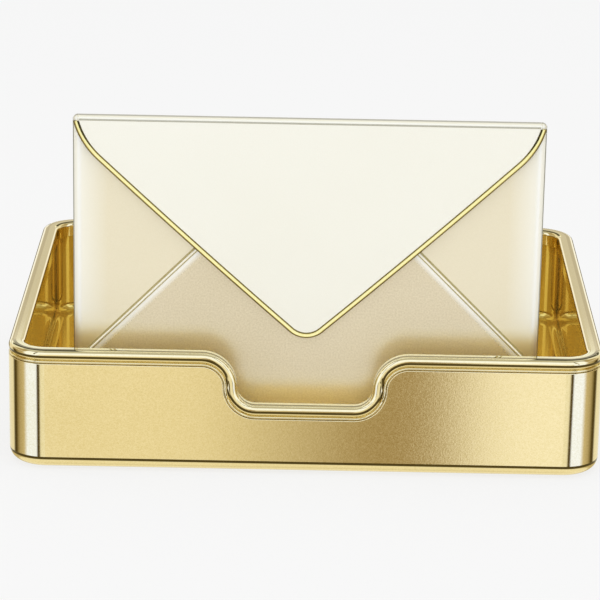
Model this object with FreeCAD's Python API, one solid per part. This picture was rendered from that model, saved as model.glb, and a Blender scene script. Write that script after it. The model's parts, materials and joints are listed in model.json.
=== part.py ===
import FreeCAD, Part
import math
import os

from FreeCAD import Placement, Rotation, Vector

# Desk letter tray with a finger notch and an upright envelope-shaped letter case.
# Millimetres, +Z up, front towards -Y, origin on the table under the tray's centre.

# tray: overall sizes
tray_width = 330.0
tray_depth = 261.0
tray_height = 69.8          # table to the top of the rim
tray_corner = 21.5          # plan radius of the outer skin
shell_lift = 0.8            # outer skin's underside above the table

# tray: skins and base
outer_skin = 1.2
outer_foot_round = 7.0      # radius where the wall turns under
flange_reach = 14.0         # turned-under flange, from the outer face
pan_skin = 1.0
pan_floor_top = 12.3        # above the table
pan_floor_round = 5.0
base_skin = 1.0
base_edge_play = 0.3

# tray: rim moulding and the wire bead below it
rim_width = 9.2
rim_outer_round = 2.65
rim_inner_round = 2.6
nose_lean = 16.0            # degrees, gentle turn inwards below the nose's widest line
nose_lean_round = 5.9
nose_tuck = 60.0            # degrees, tighter turn towards the bead
nose_tuck_round = 2.0
nose_straight = 0.05        # between one round and the next
rim_drop = 9.0              # how far the lip and the tongue reach down
lip_skin = 1.1
edge_round = 0.4
seam_play = 0.1
rim_bead_diameter = 1.3
rim_bead_groove = 0.3       # dark line above and below the bead
bead_flat = 0.02            # share of the bead's radius left straight between its rounds
shell_edge_height = 3.0     # top strip of the outer skin that carries its rounded edge

# tray: finger notch in the front wall
notch_flat = 54.2
notch_foot_radius = 10.5    # at the rim's top line
notch_shoulder_radius = 19.5

# tray: fasteners and feet under the floor
standoff_inset_x = 55.0
standoff_inset_y = 45.5
standoff_radius = 4.5
thread_radius = 1.5
thread_play = 0.1
screw_shank_length = 5.5
bore_overrun = 0.5          # bore beyond the screw's end
screw_head_radius = 2.8
screw_head_height = 1.3
drive_radius = 1.0
drive_depth = 0.7
hole_play = 0.2
foot_radius = 11.0
foot_inset_x = 33.0
foot_inset_y = 32.5
foot_edge_round = 0.5

# cradle that holds the case
cradle_skin = 1.2
cradle_wall_height = 14.0   # above the pan floor
cradle_end_gap = 19.5       # case end to cradle end
liner_thickness = 0.8
liner_play = 0.3            # case to liner, each side
liner_edge_gap = 0.6        # liner stops below the cradle's wall tops
stud_length = 6.0
stud_spacing = 65.0
nut_flats = 5.5
nut_height = 2.4

# letter case: overall sizes
case_side_gap = 26.3        # rim to case, each side
case_height = 181.1         # case bottom to hinge axis
case_setback = 22.5         # tray's front face to the top flap's front face
case_skin = 0.9
back_skin = 1.0
side_round = 5.5            # outer radius of the rounded sides
back_lap = 12.0             # side wrap's leg under the back panel
back_corner_round = 4.0

# letter case: top flap and its hinge
flap_skin = 1.0
flap_gap = 1.0              # top flap to bottom flap
barrel_radius = 2.6
barrel_end_round = 0.9
rod_radius = 0.9
rod_play = 0.05
rod_end_wall = 0.5          # ear left beyond the rod's end
barrel_end_gap = 0.3        # barrel end to hinge ear
ear_thickness = 2.2
ear_set_in = 0.5            # case side to the ear's outer face
ear_reach = 1.5             # ear's radius about the hinge axis, behind the flap's sheet
ear_cap_height = 1.0
ear_under_play = 0.4        # barrel to the ear's cap
ear_plug_depth = 11.0
ear_plug_play = 0.1
ear_plug_reach = 4.5        # plug's flat side, inboard of the side round's centre
ear_shoulder_drop = 0.4     # hinge axis to where the ear slopes away behind
ear_shoulder_round = 0.25
ear_rear_height = 0.9       # ear above its cap at the rear
ear_rear_round = 0.8
ear_end_round = 1.1
ear_round_share = 0.98      # of the ear's radius, so that its rounds never meet
back_top_drop = 1.6         # back panel's top below the hinge axis
flap_side_inset = 2.7       # case side to the flap outline at the hinge axis
flap_shoulder_slope = 75.5  # degrees from level, at the hinge axis
flap_shoulder_radius = 43.5
flap_top_slope = 43.2
flap_tip_slope = 41.3
flap_tip_radius = 12.0
piping_width = 3.2
piping_depth = 2.1
piping_lap = 0.2            # sheet edge inside the piping's centre line
piping_end_drop = 0.8       # piping stops below the hinge axis

# letter case: bottom flap and side flaps
bottom_corner_height = 46.1     # case bottom to where side and slope would meet
bottom_shoulder_radius = 16.4
bottom_slope = 45.0
bottom_flap_height = 125.7
bottom_apex_radius = 8.0
bottom_foot_round = 2.0
seam_bead_width = 1.4
seam_bead_height = 0.7
seam_bead_fullness = 0.8    # corner round as a share of the bead's height
leaf_apex_x = 40.0          # inner end of a side flap
leaf_apex_drop = 65.0       # below the hinge axis
leaf_top_width = 6.0
leaf_foot_width = 14.0
leaf_apex_round = 6.0

# the moulding's nose, worked out from its rounds
def nose_profile():
    """(inwards, up, radius) corners of the nose below its widest line, ending at its bottom edge."""
    lean, tuck = math.radians(nose_lean), math.radians(nose_tuck)
    lean_reach = nose_lean_round * math.tan(lean / 2)
    tuck_reach = nose_tuck_round * math.tan((tuck - lean) / 2)
    knee_up = -(rim_outer_round + nose_straight + lean_reach)
    step = lean_reach + nose_straight + tuck_reach
    toe_in, toe_up = step * math.sin(lean), knee_up - step * math.cos(lean)
    step = tuck_reach + nose_straight
    end_in, end_up = toe_in + step * math.sin(tuck), toe_up - step * math.cos(tuck)
    return [(0, knee_up, nose_lean_round), (toe_in, toe_up, nose_tuck_round), (end_in, end_up, 0)]


# places that follow from the sizes above
front = -tray_depth / 2
nose_height = -nose_profile()[-1][1]
notch_depth = notch_foot_radius + notch_shoulder_radius
bead_drop = nose_height + rim_bead_groove
shell_drop = bead_drop + rim_bead_diameter + rim_bead_groove
tongue_outer = max(outer_skin, rim_bead_diameter) + seam_play
pan_face = rim_width - lip_skin - seam_play
pan_back = pan_face - pan_skin
pan_top_drop = nose_height + seam_play + edge_round
pan_floor_under = pan_floor_top - pan_skin
base_under = shell_lift + outer_skin
base_top = base_under + base_skin

flap_front = front + case_setback
flap_back = flap_front + flap_skin
bottom_front = flap_back + flap_gap
leaf_front = bottom_front + case_skin
side_centre_y = leaf_front + side_round
wrap_back = leaf_front + 2 * side_round
back_face = wrap_back + back_skin
hinge_y = flap_front + barrel_radius
case_half = tray_width / 2 - rim_width - case_side_gap
side_centre_x = case_half - side_round
cradle_front = bottom_front - liner_play - liner_thickness - cradle_skin
cradle_back = back_face + liner_play + liner_thickness + cradle_skin
cradle_middle = (cradle_front + cradle_back) / 2
cradle_half = case_half - cradle_end_gap
case_bottom = pan_floor_top + cradle_skin + liner_thickness
hinge_z = case_bottom + case_height
wrap_top = hinge_z - barrel_radius - ear_under_play - ear_cap_height
wrap_bottom = case_bottom + case_skin
ear_outer = case_half - ear_set_in
ear_inner = ear_outer - ear_thickness
bore_radius = rod_radius + rod_play

X, Y, Z = Vector(1, 0, 0), Vector(0, 1, 0), Vector(0, 0, 1)
facing_front = Rotation(Y, Z, X, "XYZ")     # local x inwards, y up, z along +X
reach_past = 5.0            # how far cutting tools run past what they cut
hair = 0.01                 # for picking edges by where they lie


# ---- sections, plates and swept runs

def rounded_wire(corners):
    """Closed wire in the XY plane through (x, y, radius) corners."""
    points = [Vector(x, y, 0) for x, y, _ in corners]
    arcs = []
    for index, (_, _, radius) in enumerate(corners):
        point = points[index]
        back = (points[index - 1] - point).normalize()
        ahead = (points[(index + 1) % len(points)] - point).normalize()
        half = back.getAngle(ahead) / 2
        middle = (back + ahead).normalize()
        reach = radius / math.tan(half)
        crown = point + middle * (radius / math.sin(half) - radius)
        arcs.append((point + back * reach, crown, point + ahead * reach, radius))
    edges = []
    for index, (start, crown, end, radius) in enumerate(arcs):
        if radius > 0:
            edges.append(Part.Arc(start, crown, end).toShape())
        edges.append(Part.LineSegment(end, arcs[(index + 1) % len(arcs)][0]).toShape())
    return Part.Wire(edges)


def section(corners):
    return Part.Face(rounded_wire(corners))


def slab(corners, bottom, top):
    """Upright prism with an (x, y, radius) outline."""
    face = section(corners)
    face.translate(Z * bottom)
    return face.extrude(Z * (top - bottom))


def sheet(corners, near, far):
    """Plate facing the front, with an (x, z, radius) outline, between two y values."""
    face = section(corners)
    face.rotate(Vector(), X, 90)
    face.translate(Y * near)
    return face.extrude(Y * (far - near))


def oblong(half_x, half_y, radius):
    return [(-half_x, -half_y, radius), (half_x, -half_y, radius),
            (half_x, half_y, radius), (-half_x, half_y, radius)]


def rod(radius, start, direction, length):
    return Part.makeCylinder(radius, length, start, direction)


def block(low, high):
    size = high - low
    return Part.makeBox(size.x, size.y, size.z, low)


def joined(shapes):
    return shapes[0].multiFuse(shapes[1:]).removeSplitter()


def mirrored(shape):
    return shape.mirror(Vector(), X)


def straight(length):
    return Vector(0, 0, length), None, 0


def swing(radius, angle):
    """Turn inwards in plan."""
    return Vector(radius, 0, 0), Y, angle


def climb(radius, angle):
    return Vector(0, radius, 0), X, -angle


def dip(radius, angle):
    return Vector(0, -radius, 0), X, angle


def frame_along(frame, run, share=1.0):
    """The moving frame after a share of a run."""
    pivot, axis, angle = run
    if axis is None:
        return frame * Placement(pivot * share, Rotation())
    return frame * Placement(Vector(), Rotation(axis, angle * share), pivot)


def swept(corners, frame, runs):
    """Carry an (inwards, up, radius) section along runs that meet tangentially."""
    pieces = []
    for run in runs:
        pivot, axis, angle = run
        face = section(corners)
        face.Placement = frame
        if axis is None:
            pieces.append(face.extrude(frame.Rotation.multVec(pivot)))
        else:
            turn = frame.Rotation.multVec(axis) * math.copysign(1, angle)
            pieces.append(face.revolve(frame.multVec(pivot), turn, abs(angle)))
        frame = frame_along(frame, run)
    return joined(pieces)


def traced(frame, runs, inwards, up):
    """Edges that one point of the section draws along the runs."""
    mark = Vector(inwards, up, 0)
    edges = []
    for run in runs:
        start, end = frame.multVec(mark), frame_along(frame, run).multVec(mark)
        if run[1] is None:
            edges.append(Part.LineSegment(start, end).toShape())
        else:
            edges.append(Part.Arc(start, frame_along(frame, run, 0.5).multVec(mark), end).toShape())
        frame = frame_along(frame, run)
    return edges


def both_sides(edges):
    return edges + [mirrored(edge) for edge in edges]


# ---- tray

notch_runs = [straight(notch_flat / 2), climb(notch_foot_radius, 90), dip(notch_shoulder_radius, 90)]
notch_end = notch_flat / 2 + notch_depth
side_runs = [straight(tray_width / 2 - tray_corner - notch_end), swing(tray_corner, 90),
             straight(tray_depth - 2 * tray_corner), swing(tray_corner, 90),
             straight(tray_width / 2 - tray_corner)]
rim_start = Placement(Vector(0, front, tray_height - notch_depth), facing_front)


def around_rim(corners):
    half = swept(corners, rim_start, notch_runs + side_runs)
    return joined([half, mirrored(half)])


def above_notch(drop):
    """Cutting tool: everything above the rim line lowered by drop, within the notch."""
    edges = both_sides(traced(rim_start, notch_runs, 0, -drop))
    shoulder = tray_height - drop
    left, right = Vector(-notch_end, front, shoulder), Vector(notch_end, front, shoulder)
    over_left, over_right = left + Z * reach_past, right + Z * reach_past
    for start, end in ((left, over_left), (over_left, over_right), (over_right, right)):
        edges.append(Part.LineSegment(start, end).toShape())
    face = Part.Face(Part.Wire(Part.__sortEdges__(edges)))
    face.translate(Y * -reach_past)
    return face.extrude(Y * (rim_width + 2 * reach_past))


def tub(inset, bottom, top, foot_round):
    """Rounded block inside the tray's outline, with its foot edge rounded."""
    shape = slab(oblong(tray_width / 2 - inset, tray_depth / 2 - inset, tray_corner - inset), bottom, top)
    foot = [edge for edge in shape.Edges if edge.BoundBox.ZMax < bottom + hair]
    return shape.makeFillet(foot_round, foot)


def outer_shell():
    strip_top = tray_height - shell_drop
    wall_drop = shell_drop + shell_edge_height / 2
    wall = tub(0, shell_lift, tray_height - wall_drop, outer_foot_round)
    wall = wall.cut(tub(outer_skin, shell_lift + outer_skin, strip_top + reach_past,
                        outer_foot_round - outer_skin))
    opening = oblong(tray_width / 2 - flange_reach, tray_depth / 2 - flange_reach,
                     tray_corner - flange_reach)
    wall = wall.cut(slab(opening, shell_lift - 1, base_under + 1))
    wall = wall.cut(above_notch(wall_drop))
    strip_foot = -shell_drop - shell_edge_height
    strip = around_rim([(0, strip_foot, 0), (outer_skin, strip_foot, 0),
                        (outer_skin, -shell_drop, edge_round / 2), (0, -shell_drop, edge_round)])
    return joined([wall, strip])


def inner_pan():
    top = tray_height - pan_top_drop
    pan = tub(pan_back, pan_floor_under, top, pan_floor_round + pan_skin)
    pan = pan.cut(tub(pan_face, pan_floor_top, top + reach_past, pan_floor_round))
    pan = pan.cut(above_notch(pan_top_drop))
    holes = [rod(thread_radius + hole_play, Vector(x, cradle_middle, pan_floor_under - 1), Z, pan_skin + 2)
             for x in stud_places()]
    return pan.cut(holes)


def rim_moulding():
    tongue_inner, lip_outer = pan_back - seam_play, pan_face + seam_play
    under = [(tongue_outer, -nose_height, 0), (tongue_outer, -rim_drop, 0), (tongue_inner, -rim_drop, 0),
             (tongue_inner, -nose_height, 0), (lip_outer, -nose_height, 0), (lip_outer, -rim_drop, 0),
             (rim_width, -rim_drop, edge_round)]
    return around_rim(nose_profile() + under + [(rim_width, 0, rim_inner_round), (0, 0, rim_outer_round)])


def rim_bead():
    radius = rim_bead_diameter / 2
    low, high, rounding = -bead_drop - rim_bead_diameter, -bead_drop, radius * (1 - bead_flat)
    return around_rim([(0, low, rounding), (rim_bead_diameter, low, rounding),
                       (rim_bead_diameter, high, rounding), (0, high, rounding)])


def base_plate():
    edge = outer_foot_round + base_edge_play
    outline = oblong(tray_width / 2 - edge, tray_depth / 2 - edge, tray_corner - edge)
    holes = [rod(thread_radius + hole_play, Vector(x, y, base_under - 1), Z, base_skin + 2)
             for x, y in standoff_places()]
    return slab(outline, base_under, base_top).cut(holes)


def standoff_places():
    reach_x, reach_y = tray_width / 2 - standoff_inset_x, tray_depth / 2 - standoff_inset_y
    return [(x, y) for x in (-reach_x, 0, reach_x) for y in (-reach_y, reach_y)]


def base_standoff(x, y):
    bore_depth = screw_shank_length - base_skin + bore_overrun
    bore = rod(thread_radius + thread_play, Vector(x, y, base_top), Z, bore_depth)
    return rod(standoff_radius, Vector(x, y, base_top), Z, pan_floor_under - base_top).cut(bore)


def base_screw(x, y):
    head_foot = base_under - screw_head_height
    head = rod(screw_head_radius, Vector(x, y, head_foot), Z, screw_head_height)
    rim = [edge for edge in head.Edges if edge.BoundBox.ZMax < head_foot + hair]
    head = head.makeFillet(screw_head_height / 2, rim)
    socket = rod(drive_radius, Vector(x, y, head_foot - 1), Z, drive_depth + 1)
    return head.fuse(rod(thread_radius, Vector(x, y, base_under), Z, screw_shank_length)).cut(socket)


def foot_pad(x, y):
    pad = rod(foot_radius, Vector(x, y, 0), Z, base_under)
    foot = [edge for edge in pad.Edges if edge.BoundBox.ZMax < hair]
    return pad.makeFillet(foot_edge_round, foot)


# ---- cradle

def stud_places():
    return [stud_spacing * step for step in (-1.5, -0.5, 0.5, 1.5)]


def channel(front_face, back_face_y, skin, bottom, top, half_length):
    """U-shaped channel along X."""
    outer = block(Vector(-half_length, front_face, bottom), Vector(half_length, back_face_y, top))
    return outer.cut(block(Vector(-half_length - 1, front_face + skin, bottom + skin),
                           Vector(half_length + 1, back_face_y - skin, top + 1)))


def cradle_channel():
    return channel(cradle_front, cradle_back, cradle_skin, pan_floor_top,
                   pan_floor_top + cradle_wall_height, cradle_half)


def cradle_liner():
    return channel(cradle_front + cradle_skin, cradle_back - cradle_skin, liner_thickness,
                   pan_floor_top + cradle_skin, pan_floor_top + cradle_wall_height - liner_edge_gap,
                   cradle_half)


def cradle_stud(x):
    return rod(thread_radius, Vector(x, cradle_middle, pan_floor_top - stud_length), Z, stud_length)


def cradle_nut(x):
    corner = nut_flats / math.sqrt(3)
    outline = [(x + corner * math.cos(math.radians(60 * side)),
                cradle_middle + corner * math.sin(math.radians(60 * side)), 0) for side in range(6)]
    nut = slab(outline, pan_floor_under - nut_height, pan_floor_under)
    bore_foot = Vector(x, cradle_middle, pan_floor_under - nut_height - 1)
    return nut.cut(rod(thread_radius + thread_play / 2, bore_foot, Z, nut_height + 2))


# ---- letter case

def back_panel():
    half, top, corner = side_centre_x, hinge_z - back_top_drop, back_corner_round
    return sheet([(-half, case_bottom, corner), (half, case_bottom, corner),
                  (half, top, corner), (-half, top, corner)], wrap_back, back_face)


def side_round_disc(radius, bottom, top):
    """Quarter-turned end of the case in plan: a disc kept outboard of its centre."""
    disc = rod(radius, Vector(side_centre_x, side_centre_y, bottom), Z, top - bottom)
    keep = block(Vector(side_centre_x, side_centre_y - radius, bottom),
                 Vector(side_centre_x + radius, side_centre_y + radius, top))
    return disc.common(keep)


def right_side_flap():
    wrap = side_round_disc(side_round, wrap_bottom, wrap_top)
    wrap = wrap.cut(side_round_disc(side_round - case_skin, wrap_bottom - 1, wrap_top + 1))
    leg = block(Vector(side_centre_x - back_lap, wrap_back - case_skin, wrap_bottom),
                Vector(side_centre_x, wrap_back, wrap_top))
    leaf = sheet([(side_centre_x - leaf_foot_width, wrap_bottom, 0), (side_centre_x, wrap_bottom, 0),
                  (side_centre_x, wrap_top, 0), (side_centre_x - leaf_top_width, wrap_top, 0),
                  (leaf_apex_x, hinge_z - leaf_apex_drop, leaf_apex_round)],
                 leaf_front, leaf_front + case_skin)
    return joined([wrap, leg, leaf])


apex_height = bottom_flap_height - bottom_corner_height
shoulder_reach = bottom_shoulder_radius * math.tan(math.radians(bottom_slope / 2))
apex_reach = bottom_apex_radius * math.tan(math.radians(bottom_slope / 2))
slope_length = apex_height / math.sin(math.radians(bottom_slope))
slope_run = apex_height / math.tan(math.radians(bottom_slope))
bottom_foot_runs = [straight(side_centre_x - bottom_foot_round), climb(bottom_foot_round, 90)]
bottom_edge_runs = [straight(bottom_corner_height - bottom_foot_round - shoulder_reach),
                    climb(bottom_shoulder_radius, bottom_slope),
                    straight(slope_length - shoulder_reach - apex_reach),
                    climb(bottom_apex_radius, bottom_slope),
                    straight(side_centre_x - slope_run - apex_reach)]


def bottom_flap():
    start = Placement(Vector(0, bottom_front, case_bottom), facing_front)
    edges = both_sides(traced(start, bottom_foot_runs + bottom_edge_runs, 0, 0))
    face = Part.Face(Part.Wire(Part.__sortEdges__(edges)))
    leaf = face.extrude(Y * case_skin)
    end = side_round_disc(side_round, case_bottom, wrap_bottom)
    floor = block(Vector(-side_centre_x, leaf_front, case_bottom),
                  Vector(side_centre_x, wrap_back, wrap_bottom))
    return joined([leaf, floor, end, mirrored(end)])


def bottom_flap_bead():
    start = Placement(Vector(0, bottom_front, case_bottom), facing_front)
    for run in bottom_foot_runs:
        start = frame_along(start, run)
    rounding = seam_bead_height * seam_bead_fullness
    profile = [(0, 0, 0), (0, seam_bead_width, 0), (-seam_bead_height, seam_bead_width, rounding),
               (-seam_bead_height, 0, rounding)]
    half = swept(profile, start, bottom_edge_runs)
    return joined([half, mirrored(half)])


def hinge_ear():
    """Right-hand corner piece that carries the hinge rod."""
    cap_top = wrap_top + ear_cap_height
    cap = side_round_disc(side_round, wrap_top, cap_top)
    inner_round, plug_foot = side_round - case_skin - ear_plug_play, wrap_top - ear_plug_depth
    plug = side_round_disc(inner_round, plug_foot, cap_top)
    plug_block = block(Vector(side_centre_x - ear_plug_reach, side_centre_y - inner_round, plug_foot),
                       Vector(side_centre_x, side_centre_y + inner_round, cap_top))
    rear, ear_round = wrap_back - case_skin, ear_reach * ear_round_share
    fore, aft = hinge_y - ear_reach, hinge_y + ear_reach
    plate = section([(hinge_y, hinge_z - ear_reach, 0), (fore, hinge_z - ear_reach, ear_round),
                     (fore, hinge_z + ear_reach, ear_round), (aft, hinge_z + ear_reach, ear_round),
                     (aft, hinge_z - ear_shoulder_drop, ear_shoulder_round),
                     (rear, cap_top + ear_rear_height, ear_rear_round), (rear, wrap_top, 0),
                     (hinge_y, wrap_top, 0)])
    plate.Placement = Placement(X * ear_inner, Rotation(Y, Z, X, "XYZ"))
    plate = plate.extrude(X * ear_thickness)
    outer = [edge for edge in plate.Edges
             if edge.BoundBox.XMin > ear_outer - hair and edge.BoundBox.ZMin > hinge_z - ear_reach - hair]
    ear = joined([plate.makeFillet(ear_end_round, outer), cap, plug, plug_block])
    bore = rod(bore_radius, Vector(ear_inner - 1, hinge_y, hinge_z), X, 1 + ear_thickness - rod_end_wall)
    return ear.cut(bore)


def hinge_rod():
    half = ear_outer - rod_end_wall - rod_play
    return rod(rod_radius, Vector(-half, hinge_y, hinge_z), X, 2 * half)


# ---- top flap

flap_half = case_half - flap_side_inset
flap_slopes = [math.radians(a) for a in (flap_tip_slope, flap_top_slope, flap_shoulder_slope)]
shoulder_in = flap_shoulder_radius * (math.sin(flap_slopes[2]) - math.sin(flap_slopes[1]))
shoulder_down = flap_shoulder_radius * (math.cos(flap_slopes[1]) - math.cos(flap_slopes[2]))
edge_in = flap_half - shoulder_in - flap_tip_radius * math.sin(flap_slopes[0])
edge_bow_radius = edge_in / (math.sin(flap_slopes[1]) - math.sin(flap_slopes[0]))
edge_down = edge_bow_radius * (math.cos(flap_slopes[0]) - math.cos(flap_slopes[1]))
tip_down = flap_tip_radius * (1 - math.cos(flap_slopes[0]))
flap_drop = shoulder_down + edge_down + tip_down
flap_runs = [climb(flap_tip_radius, flap_tip_slope), climb(edge_bow_radius, flap_top_slope - flap_tip_slope),
             climb(flap_shoulder_radius, flap_shoulder_slope - flap_top_slope)]
flap_start = Placement(Vector(0, flap_back, hinge_z - flap_drop), facing_front)


def top_flap():
    edges = both_sides(traced(flap_start, flap_runs, -flap_skin, piping_lap))
    ends = [point.Point for edge in edges for point in edge.Vertexes]
    left, right = min(ends, key=lambda p: p.x), max(ends, key=lambda p: p.x)
    edges.append(Part.LineSegment(right, left).toShape())
    leaf = Part.Face(Part.Wire(Part.__sortEdges__(edges))).extrude(Y * flap_skin)
    half = ear_inner - barrel_end_gap
    barrel = rod(barrel_radius, Vector(-half, hinge_y, hinge_z), X, 2 * half)
    ends = [edge for edge in barrel.Edges if edge.BoundBox.XMax - edge.BoundBox.XMin < hair]
    barrel = barrel.makeFillet(barrel_end_round, ends)
    bore = rod(bore_radius, Vector(-half - 1, hinge_y, hinge_z), X, 2 * half + 2)
    below = block(Vector(-case_half, flap_front - 1, 0),
                  Vector(case_half, flap_back + 1, hinge_z - piping_end_drop))
    half -= barrel_end_round
    between = block(Vector(-half, flap_front - 1, 0), Vector(half, flap_back + 1, hinge_z))
    return joined([leaf.common(below.fuse(between)), barrel]).cut(bore)


def top_flap_piping():
    half_width, rounding = piping_width / 2, piping_width / 2 - 0.1
    profile = [(0, -half_width, 0), (0, half_width, 0), (-piping_depth, half_width, rounding),
               (-piping_depth, -half_width, rounding)]
    half = swept(profile, flap_start, flap_runs)
    piping = joined([half, mirrored(half)])
    above = block(Vector(-case_half, flap_front - reach_past, hinge_z - piping_end_drop),
                  Vector(case_half, flap_back + reach_past, hinge_z + reach_past))
    return piping.cut(above).cut(top_flap())


# ---- every sub-part, one file each

def foot_pads():
    reach_x, reach_y = tray_width / 2 - foot_inset_x, tray_depth / 2 - foot_inset_y
    return {"foot_pad_front_left": foot_pad(-reach_x, -reach_y),
            "foot_pad_front_right": foot_pad(reach_x, -reach_y),
            "foot_pad_rear_left": foot_pad(-reach_x, reach_y),
            "foot_pad_rear_right": foot_pad(reach_x, reach_y)}


def all_parts():
    side, ear = right_side_flap(), hinge_ear()
    parts = {
        "outer_shell": outer_shell(),
        "inner_pan": inner_pan(),
        "rim_moulding": rim_moulding(),
        "rim_bead": rim_bead(),
        "base_plate": base_plate(),
        "base_standoffs": Part.makeCompound([base_standoff(x, y) for x, y in standoff_places()]),
        "base_screws": Part.makeCompound([base_screw(x, y) for x, y in standoff_places()]),
        "cradle_channel": cradle_channel(),
        "cradle_liner": cradle_liner(),
        "cradle_studs": Part.makeCompound([cradle_stud(x) for x in stud_places()]),
        "cradle_nuts": Part.makeCompound([cradle_nut(x) for x in stud_places()]),
        "back_panel": back_panel(),
        "left_side_flap": mirrored(side),
        "right_side_flap": side,
        "bottom_flap": bottom_flap(),
        "bottom_flap_bead": bottom_flap_bead(),
        "hinge_ear_left": mirrored(ear),
        "hinge_ear_right": ear,
        "hinge_rod": hinge_rod(),
        "top_flap": top_flap(),
        "top_flap_piping": top_flap_piping(),
    }
    parts.update(foot_pads())
    return parts


os.makedirs("parts", exist_ok=True)
for name, shape in all_parts().items():
    shape.exportStep(os.path.join("parts", name + ".step"))
    box = shape.BoundBox
    print(f"{name:22s} solids {len(shape.Solids)} valid {shape.isValid()} volume {shape.Volume:10.1f}"
          f"  x {box.XMin:.1f}..{box.XMax:.1f}  y {box.YMin:.1f}..{box.YMax:.1f}"
          f"  z {box.ZMin:.1f}..{box.ZMax:.1f}")
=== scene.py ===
import json
import math

import bmesh
import bpy
from mathutils import Matrix, Vector


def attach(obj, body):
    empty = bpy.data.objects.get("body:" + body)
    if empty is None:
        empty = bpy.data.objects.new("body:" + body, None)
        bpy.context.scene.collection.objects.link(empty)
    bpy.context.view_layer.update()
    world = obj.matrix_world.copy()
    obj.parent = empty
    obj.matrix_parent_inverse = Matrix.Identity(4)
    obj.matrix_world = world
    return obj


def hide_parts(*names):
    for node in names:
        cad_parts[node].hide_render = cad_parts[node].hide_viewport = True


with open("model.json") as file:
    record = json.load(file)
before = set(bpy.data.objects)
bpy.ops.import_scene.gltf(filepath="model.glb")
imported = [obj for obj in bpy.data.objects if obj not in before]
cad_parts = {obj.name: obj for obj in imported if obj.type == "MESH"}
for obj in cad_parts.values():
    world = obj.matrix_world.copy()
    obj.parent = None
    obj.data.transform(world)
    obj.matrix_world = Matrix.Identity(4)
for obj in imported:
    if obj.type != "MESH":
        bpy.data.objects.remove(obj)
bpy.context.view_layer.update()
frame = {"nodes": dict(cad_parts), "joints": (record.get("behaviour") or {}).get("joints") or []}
print("frame loaded:", len(frame["nodes"]), "nodes")


def corners(name):
    # the lowest and the highest corner of a CAD node's box
    places = [vert.co for vert in frame["nodes"][name].data.vertices]
    return [Vector([pick(place[i] for place in places) for i in range(3)]) for pick in (min, max)]


def addObject(name, data):
    made = bpy.data.objects.new(name, data)
    bpy.context.scene.collection.objects.link(made)
    return made


# camera, turned a degree off level; place in metres, angles in degrees, lens and sensor in mm
view = {"place": (0.0, -1.7250, 0.6131), "pitch": 17.77, "yaw": -0.13, "roll": 1.05, "lens": 184.2,
        "sensor": 36.0}


def addCamera():
    pitch, yaw, roll = (math.radians(view[key]) for key in ("pitch", "yaw", "roll"))
    ahead = Vector((math.sin(yaw) * math.cos(pitch), math.cos(yaw) * math.cos(pitch), -math.sin(pitch)))
    level = Vector((math.cos(yaw), -math.sin(yaw), 0))
    over = level.cross(ahead)
    right = level * math.cos(roll) + over * math.sin(roll)
    up = over * math.cos(roll) - level * math.sin(roll)
    data = bpy.data.cameras.new("camera")
    data.lens = view["lens"]
    data.sensor_width = view["sensor"]
    camera = addObject("camera", data)
    turn = Matrix((right, up, -ahead)).transposed().to_4x4()
    camera.matrix_world = Matrix.Translation(view["place"]) @ turn
    bpy.context.scene.camera = camera


addCamera()
bpy.context.scene.view_settings.view_transform = "Standard"
print("camera placed")


# a node's output, so that sums written in Python become Math nodes
class Value:
    def __init__(self, make, link):
        self.make = make
        self.link = link

    def __add__(self, other):
        return self.make.maths("ADD", self, other)

    def __radd__(self, other):
        return self.make.maths("ADD", other, self)

    def __sub__(self, other):
        return self.make.maths("SUBTRACT", self, other)

    def __rsub__(self, other):
        return self.make.maths("SUBTRACT", other, self)

    def __mul__(self, other):
        return self.make.maths("MULTIPLY", self, other)

    def __rmul__(self, other):
        return self.make.maths("MULTIPLY", other, self)

    def __abs__(self):
        return self.make.maths("ABSOLUTE", self)


# one node tree being wired
class Nodes:
    def __init__(self, tree):
        self.tree = tree

    def plug(self, slot, value):
        if isinstance(value, Value):
            self.tree.links.new(value.link, slot)
        else:
            slot.default_value = value

    def node(self, kind, settings=None, inputs=None, output=0):
        made = self.tree.nodes.new("ShaderNode" + kind)
        for key, value in (settings or {}).items():
            if key == "stops":
                setStops(made.color_ramp, value)
            else:
                setattr(made, key, value)
        for key, value in (inputs or {}).items():
            self.plug(made.inputs[key], value)
        return Value(self, made.outputs[output])

    def maths(self, operation, *terms):
        return self.node("Math", {"operation": operation}, dict(enumerate(terms)))

    def axis(self, space, letter):
        # one coordinate, such as Object Z for the height and Normal Z for how far the surface faces up
        return self.node("SeparateXYZ", None, {0: self.node("TexCoord", output=space)}, letter)

    def noise(self, scale, detail, rough):
        spot = self.node("TexCoord", output="Object")
        values = {"Vector": spot, "Scale": scale, "Detail": detail, "Roughness": rough}
        return self.node("TexNoise", None, values)

    def spread(self, value, low, high, floor=0.0, ceiling=1.0):
        # floor where the value is at low, ceiling where it is at high, and even between them
        return self.node("MapRange", {"clamp": True}, {0: value, 1: low, 2: high, 3: floor, 4: ceiling})

    def mixed(self, share, one, two):
        ends = [item if isinstance(item, Value) else (*item, 1) for item in (one, two)]
        return self.node("Mix", {"data_type": "RGBA"}, {0: share, 6: ends[0], 7: ends[1]}, 2)

    def ramp(self, value, stops, first, last):
        # colours at stops in the value's own units, from first to last
        share = 1 / (last - first)
        places = [((place - first) * share, shade) for place, shade in stops]
        return self.node("ValToRGB", {"stops": places}, {0: (value - first) * share})


def setStops(ramp, stops):
    while len(ramp.elements) < len(stops):
        ramp.elements.new(0.5)
    for element, (place, shade) in zip(ramp.elements, stops):
        element.position = place
        element.color = (*shade, 1)


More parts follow.
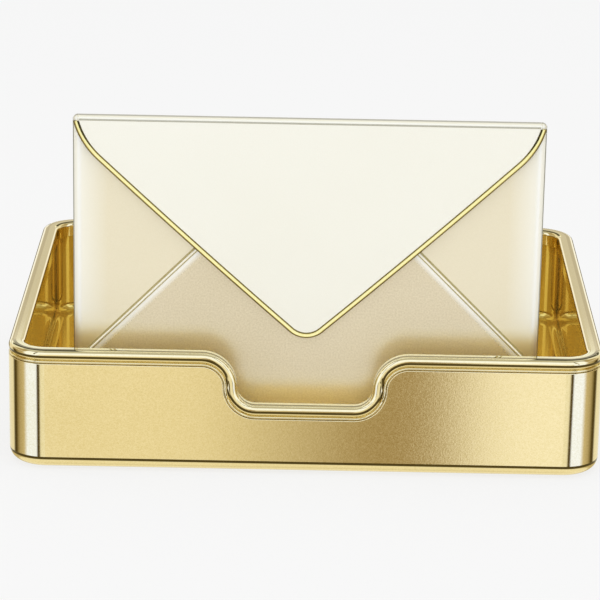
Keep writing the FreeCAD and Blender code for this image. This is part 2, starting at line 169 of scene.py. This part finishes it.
# what a metal shows so far; a layer mixes in its colour and, where it names them, its rough and metallic
class Coat:
    def __init__(self, make, fine, colour, gloss, metallic):
        self.make = make
        self.fine = fine
        self.colour = colour
        self.gloss = gloss
        self.metallic = metallic

    def lay(self, share, layer):
        self.colour = self.make.mixed(share, self.colour, layer["colour"])
        if "rough" in layer:
            self.gloss = self.gloss + share * layer["rough"]
        if "metallic" in layer:
            self.metallic = share * (layer["metallic"] - self.metallic) + self.metallic


# texture of every finish: tone and gloss are made of (slow drift, fine grain) in these shares
texture = {"drift": {"scale": 9.0, "detail": 2.0, "rough": 0.5}, "grain": {"detail": 2.0, "rough": 0.6},
           "range": (0.3, 0.7), "tone": (0.3, 0.7), "gloss": (0.4, 0.6), "recessBreakup": (0.3, 0.6, 0.85, 1.0),
           "depth": 0.0001}


def metal(name, dark, light, grain, rough, bump, metallic=1.0, layers=()):
    # slow tone drift, a fine grain and uneven gloss, and then the layers in their order
    material = bpy.data.materials.new(name)
    material.use_nodes = True
    make = Nodes(material.node_tree)
    drift = make.noise(**texture["drift"])
    fine = make.noise(grain, **texture["grain"])

    def blend(shares, *ends):
        return make.spread(drift * shares[0] + fine * shares[1], *texture["range"], *ends)

    colour = make.mixed(blend(texture["tone"]), dark, light)
    coat = Coat(make, fine, colour, blend(texture["gloss"], *rough), metallic)
    for layer, values in layers:
        layer(coat, values)
    height = make.node("Bump", None, {"Height": fine, "Strength": bump, "Distance": texture["depth"]})
    shader = material.node_tree.nodes["Principled BSDF"]
    shown = {"Base Color": coat.colour, "Roughness": coat.gloss, "Metallic": coat.metallic, "Normal": height}
    for key, value in shown.items():
        make.plug(shader.inputs[key], value)
    return material


# layers: a pair of numbers is where a layer begins to show and where it shows in full, in metres or as a
# coordinate of the way that the surface faces
rollTop = corners("top_flap")[1].z
# painted shade: a dull line along the roll's top edge, in place of a dark reflection along its outline
rollTopShadeLine = {"level": (rollTop - 0.0006, rollTop - 0.0002), "colour": (0.55, 0.53, 0.45)}
# painted shade: the roll's upper half is a darker cream, which tones its highlight down from white to cream
rollUpperShade = {"level": (0.1955, 0.1958), "colour": (0.87, 0.84, 0.69)}
# painted light: the pan's floor and the foot of its walls are a lighter gold
panFloorLight = {"level": (0.020, 0.012), "colour": (0.77, 0.57, 0.14)}
# painted shade and painted gold reflection: the side flaps turn a darker gold towards their foot, behind the rim
sheetFootShade = {"level": (0.080, 0.066), "colour": (0.74, 0.63, 0.39)}


def tintLevel(coat, band):
    # another colour above or below one height
    coat.lay(coat.make.spread(coat.make.axis("Object", "Z"), *band["level"]), band)


# the sheet is paler towards its sides, above its foot: a painted highlight, as from its rounded sides; and each
# side's edge is a dull line: painted shade along its outline
sheetSide = corners("bottom_flap")[1].x
sheetSides = {"sides": (sheetSide - 0.0195, sheetSide - 0.0035), "foot": (0.070, 0.086),
              "colour": (0.96, 0.94, 0.83), "metallic": 0.1,
              "edge": (sheetSide - 0.0009, sheetSide - 0.0007), "dull": (0.24, 0.23, 0.17)}


def paintSideHighlight(coat, sheet):
    make = coat.make
    aside = abs(make.axis("Object", "X"))
    # painted highlight towards the sides above the foot, then a painted shade line along each side's edge
    pale = make.spread(aside, *sheet["sides"]) * make.spread(make.axis("Object", "Z"), *sheet["foot"])
    coat.lay(pale, sheet)
    coat.lay(make.spread(aside, *sheet["edge"]), {"colour": sheet["dull"]})


# the tray's front is brushed duller on the face that looks back at the case
panFace = {"rear": (-0.104, -0.116), "front": (-0.1406, -0.14), "sides": (0.154, 0.15), "rough": 0.3,
           "metallic": 0.15, "colour": (0.82, 0.66, 0.14)}
rimFace = dict(panFace, front=(-0.1222, -0.1216))


def brushFace(coat, face):
    make = coat.make
    forward = make.axis("Object", "Y")
    inside = make.spread(forward, *face["rear"]) * make.spread(forward, *face["front"])
    coat.lay(inside * make.spread(abs(make.axis("Object", "X")), *face["sides"]), face)


# painted lines along the rim's flat, two highlights with a shade line between them in place of a fine groove:
# (from, to, colour) by distance inwards from the tray's outer face
rimPaintedLines = {"outside": corners("rim_moulding")[1], "cornerRadius": 0.0215, "soft": 0.0002,
            "forward": (-0.109, -0.116), "rearShare": 0.25, "facing": (-0.75, -0.55),
            "lines": [(0.0043, 0.0079, (1.0, 0.94, 0.58)), (0.0022, 0.0042, (0.27, 0.23, 0.10)),
                      (0.0009, 0.0021, (1.0, 0.92, 0.60))]}


def paintRimLines(coat, rim):
    # strongest along the front, and not on the nose that faces forwards
    make = coat.make
    radius = rim["cornerRadius"]
    past = [make.maths("MAXIMUM", abs(make.axis("Object", letter)) - (outside - radius), 0.0)
            for letter, outside in zip("XY", rim["outside"])]
    inset = radius - make.maths("SQRT", past[0] * past[0] + past[1] * past[1])
    strong = make.spread(make.axis("Object", "Y"), *rim["forward"], rim["rearShare"], 1.0)
    strong = strong * make.spread(make.axis("Normal", "Y"), *rim["facing"])
    # each line is painted: highlights either side of a painted shade line
    for low, high, shade in rim["lines"]:
        line = make.spread(inset, low, low + rim["soft"]) * make.spread(inset, high, high - rim["soft"])
        coat.lay(line * strong, {"colour": shade})


# painted shade where the metal begins to turn downwards, in place of a dark reflection there
turnShade = {"upper": (-0.037, -0.063), "lower": (-0.244, -0.20), "colour": (0.13, 0.10, 0.035)}


def paintTurnShade(coat, turn):
    slope = coat.make.axis("Normal", "Z")
    coat.lay(coat.make.spread(slope, *turn["upper"]) * coat.make.spread(slope, *turn["lower"]), turn)


def acrossBand(coat):
    # the piece's own attribute: how far across the band a point lies, in mm
    return coat.make.node("Attribute", {"attribute_name": "across"}, None, "Fac")


def fadeSeamHighlight(coat, edge):
    # a painted highlight on the leaf beside the seam's bead, which fades into the leaf's own finish further out
    make = coat.make
    across = acrossBand(coat)
    coat.lay(make.spread(across, *edge["rise"]), {"colour": edge["bright"]})
    coat.lay(make.spread(across, *edge["sink"]), edge)


def shadeRecesses(coat, crease):
    # painted shade in the recesses beside a raised band, broken up by the grain
    make = coat.make
    across = acrossBand(coat)
    tarnish = crease["tarnish"]
    if "hinge" in crease:
        # the inner recess's painted shade widens and blackens towards the hinge
        hinge = crease["hinge"]
        upper = make.spread(make.axis("Object", "Z"), *hinge["level"])
        across = across + upper * make.spread(across, *hinge["inner"]) * hinge["widening"]
        tarnish = make.mixed(upper * make.spread(across, *hinge["inner"]), tarnish, hinge["colour"])
    soft = crease["soft"]
    hollow = sum(make.spread(across, low - soft, low + soft) * make.spread(across, high + soft, high - soft)
                 for low, high in crease["recesses"])
    recessBreakup = make.spread(coat.fine, *texture["recessBreakup"])
    coat.lay(hollow * recessBreakup, {"colour": tarnish, "rough": crease["rough"]})


finishes = {
    "polished_brass": metal("polishedBrass", (0.84, 0.70, 0.36), (0.90, 0.77, 0.44), 900, (0.04, 0.07), 0.02,
                            layers=[(paintRimLines, rimPaintedLines), (brushFace, rimFace), (paintTurnShade, turnShade)]),
    "satin_brass": metal("satinBrass", (0.785, 0.655, 0.325), (0.945, 0.815, 0.485), 1200, (0.06, 0.09), 0.05,
                         layers=[(paintTurnShade, turnShade)]),
    "inner_brass": metal("innerBrass", (0.66, 0.47, 0.09), (0.78, 0.58, 0.15), 1200, (0.02, 0.05), 0.02, 0.85,
                         layers=[(tintLevel, panFloorLight), (brushFace, panFace)]),
    "champagne_aluminium": metal("champagneAluminium", (0.91, 0.84, 0.64), (0.95, 0.88, 0.69), 1500,
                                 (0.29, 0.31), 0.02, 0.55,
                                 layers=[(tintLevel, sheetFootShade), (paintSideHighlight, sheetSides)]),
    "cream_aluminium": metal("creamAluminium", (0.95, 0.94, 0.84), (0.99, 0.98, 0.89), 1500, (0.30, 0.38),
                             0.04, 0.3, layers=[(tintLevel, rollUpperShade), (tintLevel, rollTopShadeLine)]),
    "fastener_steel": metal("fastenerSteel", (0.45, 0.45, 0.44), (0.58, 0.58, 0.57), 1200, (0.28, 0.40), 0.1),
    "base_steel": metal("baseSteel", (0.45, 0.36, 0.19), (0.56, 0.46, 0.26), 1400, (0.35, 0.45), 0.2),
    "liner_felt": metal("linerFelt", (0.25, 0.19, 0.11), (0.38, 0.30, 0.18), 2500, (0.9, 1.0), 0.9, 0.0),
    "foot_rubber": metal("footRubber", (0.02, 0.02, 0.02), (0.035, 0.035, 0.035), 1800, (0.6, 0.75), 0.4,
                         0.0),
}
# pieces whose finish differs from that of their slot
# painted shade: the bottom flap's finish is a darker copy of the champagne finish
shadedLeafFinish = metal("champagneLeafShaded", (0.73, 0.64, 0.45), (0.93, 0.84, 0.65), 1000, (0.29, 0.31), 0.03, 0.65)
# the ears carry the same painted side highlight and outline shade as the sheets
earFinish = metal("earAluminium", (0.93, 0.91, 0.80), (0.97, 0.95, 0.85), 1500, (0.30, 0.38), 0.04, 0.3,
                  layers=[(paintSideHighlight, sheetSides)])
own = {"bottom_flap": shadedLeafFinish, "hinge_ear_left": earFinish, "hinge_ear_right": earFinish}
for name, node in frame["nodes"].items():
    for holder in node.material_slots:
        holder.material = own.get(name) or finishes[holder.material.name]
print("finishes:", len(finishes))


# raised bands, one half of each in mm: a section of (across, proud, round) corners, carried along its runs,
# which are ("straight", length) or ("turn", radius, degrees) towards the inside
front = Vector((0, -1, 0))
millimetres = 1000  # in a metre
bandMesh = {"roundSegments": 6, "turnStep": 3, "fewestSteps": 8, "cutSlack": 0.0001, "merge": 0.004,
            "sharpAngle": 35}


def everything(work):
    return list(work.verts) + list(work.edges) + list(work.faces)


def only(kind, items):
    return [item for item in items if isinstance(item, kind)]


def cap(work, items):
    bmesh.ops.contextual_create(work, geom=only(bmesh.types.BMEdge, items))


def trim(work, place, outward):
    # cuts off what lies past a plane, and closes the cut
    cut = bmesh.ops.bisect_plane(work, geom=everything(work), dist=bandMesh["cutSlack"], plane_co=place,
                                 plane_no=outward, clear_outer=True)
    cap(work, cut["geom_cut"])


def addSection(work, section, at, heading):
    inward = front.cross(heading)
    layer = work.verts.layers.float.new("across")
    made = [work.verts.new(at + inward * across + front * proud) for across, proud, bend in section]
    for one, two in zip(made, made[1:] + made[:1]):
        work.edges.new((one, two))
    for vert, (across, proud, bend) in zip(made, section):
        if bend:
            bmesh.ops.bevel(work, geom=[vert], offset=bend, offset_type="OFFSET", profile=0.5,
                            segments=bandMesh["roundSegments"], affect="VERTICES", material=-1)
    for vert in work.verts:
        vert[layer] = (vert.co - at).dot(inward)
    return list(work.verts) + list(work.edges)


def carry(work, section, at, heading, runs):
    for run in runs:
        if run[0] == "straight":
            step = heading * run[1]
            grown = bmesh.ops.extrude_edge_only(work, edges=only(bmesh.types.BMEdge, section))["geom"]
            section = only((bmesh.types.BMVert, bmesh.types.BMEdge), grown)
            bmesh.ops.translate(work, verts=only(bmesh.types.BMVert, section), vec=step)
            at = at + step
        else:
            radius, degrees = run[1:]
            centre = at + front.cross(heading) * radius
            steps = max(bandMesh["fewestSteps"], round(degrees / bandMesh["turnStep"]))
            section = bmesh.ops.spin(work, geom=section, cent=centre, axis=front, angle=math.radians(degrees),
                                     steps=steps, dvec=(0, 0, 0), use_merge=False, use_normal_flip=False,
                                     use_duplicate=False)["geom_last"]
            turn = Matrix.Rotation(math.radians(degrees), 3, front)
            at = centre + turn @ (at - centre)
            heading = turn @ heading
    return section


def sweep(section, start, heading, runs):
    # the section carried along its runs, and closed at the end that isn't in the middle of the front
    work = bmesh.new()
    start, heading = Vector(start), Vector(heading)
    section = addSection(work, section, start, heading)
    if start.x:
        cap(work, section)
    section = carry(work, section, start, heading, runs)
    if not start.x:
        cap(work, section)
    return work


def finishPiece(work, name, material, body):
    # adds the mirrored half, turns normals outwards, marks sharp edges and turns mm into metres
    bmesh.ops.remove_doubles(work, verts=work.verts, dist=bandMesh["merge"])
    bmesh.ops.mirror(work, geom=everything(work), matrix=Matrix.Identity(4), merge_dist=bandMesh["merge"],
                     axis="X", mirror_u=False, mirror_v=False)
    bmesh.ops.remove_doubles(work, verts=work.verts, dist=bandMesh["merge"])
    bmesh.ops.recalc_face_normals(work, faces=work.faces)
    for face in work.faces:
        face.smooth = True
    for edge in work.edges:
        edge.smooth = edge.is_manifold and edge.calc_face_angle() < math.radians(bandMesh["sharpAngle"])
    bmesh.ops.scale(work, vec=Vector((1, 1, 1)) / millimetres, verts=work.verts)
    mesh = bpy.data.meshes.new(name)
    work.to_mesh(mesh)
    work.free()
    mesh.materials.append(material)
    piece = addObject(name, mesh)
    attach(piece, body)
    return piece


# top flap's piping: a fat crown between two recesses with painted shade, its runs beginning at the flap's tip
piping = {
    "outside": 1.6,  # from the line that the section is carried along to the outer side
    "section": [(-2.3, 0.0, 0), (-2.3, 0.4, 0.2), (-1.3, 2.1, 0.4), (0.45, 1.55, 0.25), (0.6, 1.06, 0),
                (1.1, 1.04, 0), (1.1, 0.9, 0), (0.0, 0.9, 0), (0.0, 0.0, 0)],
    "runs": [("turn", 12.0, 41.3), ("turn", 4340.66, 1.9), ("turn", 43.5, 32.3)],
    # painted shade in both recesses, blackest in the inner one near the hinge
    "crease": {"recesses": [(0.5, 1.6), (-3.0, -1.15)], "soft": 0.06, "tarnish": (0.19, 0.145, 0.035),
               "rough": 0.3, "hinge": {"level": (0.178, 0.188), "inner": (-0.6, 0.0), "widening": 0.5,
                                       "colour": (0.04, 0.034, 0.012)}},
}


def addPiping():
    low, high = (corner * millimetres for corner in corners("top_flap_piping"))
    start = (0, high.y, low.z + piping["outside"])
    work = sweep(piping["section"], start, (1, 0, 0), piping["runs"])
    trim(work, high, (0, 0, 1))
    material = metal("pipingBrass", (0.83, 0.68, 0.23), (0.89, 0.75, 0.30), 900, (0.06, 0.10), 0.02,
                     layers=[(shadeRecesses, piping["crease"])])
    piece = finishPiece(work, "flap_piping_band", material, "flap")
    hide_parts("top_flap_piping")


# bottom flap's seam: a slim bead in its recess, and a soft shoulder on the leaf beside it; each side goes
# straight up to its corner, leans over from there and levels out at the top
seam = {
    "cornerHeight": 60.4, "cornerRadius": 16.4, "topRadius": 8.0, "lean": 45,
    "section": [(-1.05, -0.86, 0), (-1.0, -0.78, 0), (-0.05, -0.76, 0), (0.05, 0.25, 0.12), (0.3, 0.62, 0.2),
                (0.95, 0.62, 0.25), (1.25, 0.05, 0), (1.7, 0.04, 0), (5.6, 0.03, 0), (5.6, -0.1, 0),
                (0.1, -0.1, 0), (0.1, -0.86, 0)],
    # a painted highlight beside the bead, fading into the leaf's colour
    "edge": {"rise": (1.4, 1.8), "bright": (0.99, 0.98, 0.92), "sink": (2.8, 5.4),
             "colour": (0.83, 0.74, 0.55), "rough": 0.1, "metallic": 0.65},
    # painted shade in the recesses either side of the bead
    "crease": {"recesses": [(-1.6, -0.02), (1.15, 1.7)], "soft": 0.06, "tarnish": (0.46, 0.38, 0.15),
               "rough": 0.25},
}


def addSeam():
    foot, top = (corner * millimetres for corner in corners("bottom_flap_bead"))
    lean = math.radians(seam["lean"])
    one = seam["cornerRadius"] * math.tan(lean / 2)
    two = seam["topRadius"] * math.tan(math.radians(90 - seam["lean"]) / 2)
    rise = top.z - seam["cornerHeight"]
    runs = [("straight", seam["cornerHeight"] - foot.z - one), ("turn", seam["cornerRadius"], seam["lean"]),
            ("straight", rise / math.cos(lean) - one - two), ("turn", seam["topRadius"], 90 - seam["lean"]),
            ("straight", top.x - rise * math.tan(lean) - two)]
    work = sweep(seam["section"], (top.x, top.y, foot.z), (0, 0, 1), runs)
    # the band's pale colour is partly the brass's own and partly painted highlight beside the bead
    material = metal("seamBrass", (0.96, 0.92, 0.76), (0.99, 0.96, 0.82), 900, (0.16, 0.22), 0.02, 0.2,
                     layers=[(fadeSeamHighlight, seam["edge"]), (shadeRecesses, seam["crease"])])
    piece = finishPiece(work, "bottom_flap_seam_band", material, "case")
    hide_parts("bottom_flap_bead")


# the roll turns about the hinge line; a fine line marks where it meets the sheet
hingeJoint = next(joint for joint in frame["joints"] if joint["name"] == "flap_hinge")
hinge = Vector(hingeJoint["pos_m"]) * millimetres
rollLine = {"proud": 2.5, "reach": 125.6,
            "section": [(-0.5, 0.0, 0), (-0.5, 0.2, 0.15), (0.5, 0.2, 0.15), (0.5, 0.0, 0)]}


def addRollLine():
    start = hinge + front * rollLine["proud"]
    work = sweep(rollLine["section"], start, (1, 0, 0), [("straight", rollLine["reach"])])
    material = metal("rollLineBrass", (0.48, 0.46, 0.37), (0.58, 0.56, 0.46), 1200, (0.35, 0.45), 0.02, 0.6)
    piece = finishPiece(work, "flap_roll_line", material, "flap")


# rounded ends of the roll: each is the outer half of a ball, with a painted shade line round its upper outline
rollEnd = {"aside": 126.25, "radius": 2.6, "rows": 24,
           "crease": {"recesses": [(2.15, 3.0)], "soft": 0.12, "tarnish": (0.50, 0.48, 0.40), "rough": 0.1}}


def addRollEnds():
    work = bmesh.new()
    centre, rows = hinge + Vector((rollEnd["aside"], 0, 0)), rollEnd["rows"]
    bmesh.ops.create_uvsphere(work, u_segments=2 * rows, v_segments=rows, radius=rollEnd["radius"],
                              matrix=Matrix.Translation(centre))
    trim(work, centre, (-1, 0, 0))
    layer = work.verts.layers.float.new("across")
    for vert in work.verts:
        vert[layer] = math.hypot(vert.co.x - centre.x, max(vert.co.z - centre.z, 0))
    # the ends take the same darker cream that is painted on the roll's upper half to tone down its highlight
    material = metal("rollEndAluminium", (0.86, 0.83, 0.68), (0.89, 0.86, 0.73), 1500, (0.30, 0.38), 0.04,
                     0.3, layers=[(shadeRecesses, rollEnd["crease"])])
    piece = finishPiece(work, "flap_roll_ends", material, "flap")


addPiping()
addSeam()
addRollLine()
addRollEnds()
print("bands made")


# studio: what polished metal sees, by degrees round from the front and degrees above level; pale and dark
# cards stand all round the object
plain, white, highWhite = (0.97, 0.97, 0.92), (1.05, 1.21, 1.85), (1.15, 1.30, 1.75)
warmDark, brown, beige, tan = (0.09, 0.065, 0.02), (0.30, 0.24, 0.12), (0.50, 0.42, 0.26), (0.66, 0.58, 0.40)
honey, sand, below, above = (0.60, 0.51, 0.30), (0.97, 0.94, 0.80), (0.84, 0.80, 0.66), (0.60, 0.60, 0.57)
rearPale, rearWhite, rearFlat = (0.92, 0.90, 0.80), (1.09, 1.12, 1.20), (0.67, 0.64, 0.58)
rearNotch, rearShade = (0.90, 0.88, 0.70), (0.22, 0.19, 0.12)
farSide = [(72, tan), (88, beige), (97, brown), (103, warmDark), (112, warmDark), (121, rearPale),
           (180, rearPale)]
studio = {
    # round one side, mirrored for the other: well below level, just below it, and above it
    "low": [(4.2, plain), (18, plain), (21.5, warmDark), (26.5, warmDark), (31, white), (60, white),
            *farSide],
    "middle": [(4.2, plain), (18, plain), (24, highWhite), (60, highWhite), *farSide],
    "high": [(4, highWhite), (31, highWhite), (33, warmDark), (37, warmDark), (39, highWhite),
             (66, highWhite), (73, beige), (116, beige), (122, rearPale), (180, rearPale)],
    # in the middle of the front: a cream card, a dark brown one and a white one, soft edged
    "ahead": [(-2, (0.95, 0.9, 0.75)), (1.5, (0.35, 0.25, 0.1)), (2.5, (0.35, 0.25, 0.1)), (3.5, (1.1, 1.1, 1.1))],
    # from straight below to straight above: below and above the cards, and behind the object
    "outside": [(-90, below), (-70, sand), (-45, sand), (-40, honey), (-28, honey), (-22, plain),
                (50, warmDark), (56, (0.45, 0.44, 0.38)), (62, (0.60, 0.60, 0.56)), (90, above)],
    "behind": [(-90, rearShade), (-3, rearShade), (-0.5, rearWhite), (11, rearWhite), (14, rearFlat),
               (19.0, rearFlat), (19.5, rearNotch), (22, rearNotch), (25, (0.10, 0.095, 0.07)),
               (78, (0.12, 0.115, 0.09)), (90, above)],
    # degrees over which one part gives way to the next
    "lowToMiddle": (-13, -11), "middleToHigh": (1, 5), "aheadToSide": (5.2, 6.2), "cardsFoot": (-25, -22),
    "cardsTop": (56, 50), "rearSides": (140, 152), "rearFoot": (-16, -14.5),
    # a pale patch straight behind
    "patchSides": (176, 175), "patchFoot": (18.3, 18.6), "patchTop": (25, 21), "patchShare": 0.8,
    # what the camera sees past the floor, and what lights the object from all round
    "background": (0.93, 0.93, 0.93), "ambient": (0.92, 0.92, 0.92),
}


def addWorld():
    world = bpy.data.worlds.new("studio")
    world.use_nodes = True
    bpy.context.scene.world = world
    make = Nodes(world.node_tree)
    x, y, z = (make.axis("Generated", letter) for letter in "XYZ")
    turn = make.maths("ARCTAN2", x, y * -1) * math.degrees(1)
    rise = make.maths("ARCSINE", z) * math.degrees(1)
    aside = abs(turn)

    def between(value, key):
        return make.spread(value, *studio[key])

    low, middle, high = (make.ramp(aside, studio[key], 0, 180) for key in ("low", "middle", "high"))
    ahead = make.ramp(turn, studio["ahead"], -6, 6)
    outside, behind = (make.ramp(rise, studio[key], -90, 90) for key in ("outside", "behind"))
    cards = make.mixed(between(rise, "lowToMiddle"), low, middle)
    cards = make.mixed(between(aside, "aheadToSide"), ahead, cards)
    cards = make.mixed(between(rise, "middleToHigh"), cards, high)
    cards = make.mixed(between(rise, "cardsFoot") * between(rise, "cardsTop"), outside, cards)
    cards = make.mixed(between(aside, "rearSides") * between(rise, "rearFoot"), cards, behind)
    patch = between(aside, "patchSides") * between(rise, "patchFoot") * between(rise, "patchTop")
    cards = make.mixed(patch * studio["patchShare"], cards, rearWhite)
    seen, glossy = (make.node("LightPath", output=ray) for ray in ("Is Camera Ray", "Is Glossy Ray"))
    plainLight = make.mixed(seen, studio["ambient"], studio["background"])
    make.plug(world.node_tree.nodes["Background"].inputs["Color"], make.mixed(glossy, plainLight, cards))


# floor: pale paper that the camera sees mostly as glow, and that metal sees through
floorLook = {"reach": 8.0, "paper": (0.86, 0.86, 0.86, 1), "glow": (0.93, 0.93, 0.93, 1), "glowShare": 0.85}


def addFloor():
    mesh = bpy.data.meshes.new("floor")
    work = bmesh.new()
    bmesh.ops.create_grid(work, x_segments=2, y_segments=2, size=floorLook["reach"])
    work.to_mesh(mesh)
    work.free()
    addObject("floor", mesh)
    material = bpy.data.materials.new("floor")
    material.use_nodes = True
    tree = material.node_tree
    tree.nodes.remove(tree.nodes["Principled BSDF"])
    make = Nodes(tree)
    paper = make.node("BsdfDiffuse", None, {"Color": floorLook["paper"]})
    glow = make.node("Emission", None, {"Color": floorLook["glow"]})
    clear = make.node("BsdfTransparent")
    seen, glossy = (make.node("LightPath", output=ray) for ray in ("Is Camera Ray", "Is Glossy Ray"))
    pale = make.node("MixShader", None, {0: seen * floorLook["glowShare"], 1: paper, 2: glow})
    make.plug(tree.nodes["Material Output"].inputs["Surface"],
              make.node("MixShader", None, {0: glossy, 1: pale, 2: clear}))
    mesh.materials.append(material)


# lamps: a soft one above, and two small ones between the case and the rim that light the rim's inner face
lamps = {
    "keyLamp": {"place": (0.0, -0.5, 1.9), "aim": (0, 0, 0.1), "size": (2.2, 1.4), "power": 12},
    "gapLamp": {"place": (0.004, -0.1066, 0.074), "aim": (0.004, -0.1216, 0.070), "size": (0.262, 0.014),
                "power": 0.011},
    "notchLamp": {"place": (0.0, -0.1066, 0.037), "aim": (0, -0.1216, 0.031), "size": (0.07, 0.012),
                  "power": 0.006},
}


def addLamp(name, lamp):
    data = bpy.data.lights.new(name, "AREA")
    data.shape = "RECTANGLE"
    data.size, data.size_y = lamp["size"]
    data.energy = lamp["power"]
    made = addObject(name, data)
    turn = (Vector(lamp["place"]) - Vector(lamp["aim"])).to_track_quat("Z", "Y").to_matrix().to_4x4()
    made.matrix_world = Matrix.Translation(lamp["place"]) @ turn
    made.visible_glossy = False


addFloor()
addWorld()
for name, lamp in lamps.items():
    addLamp(name, lamp)
print("studio lit")
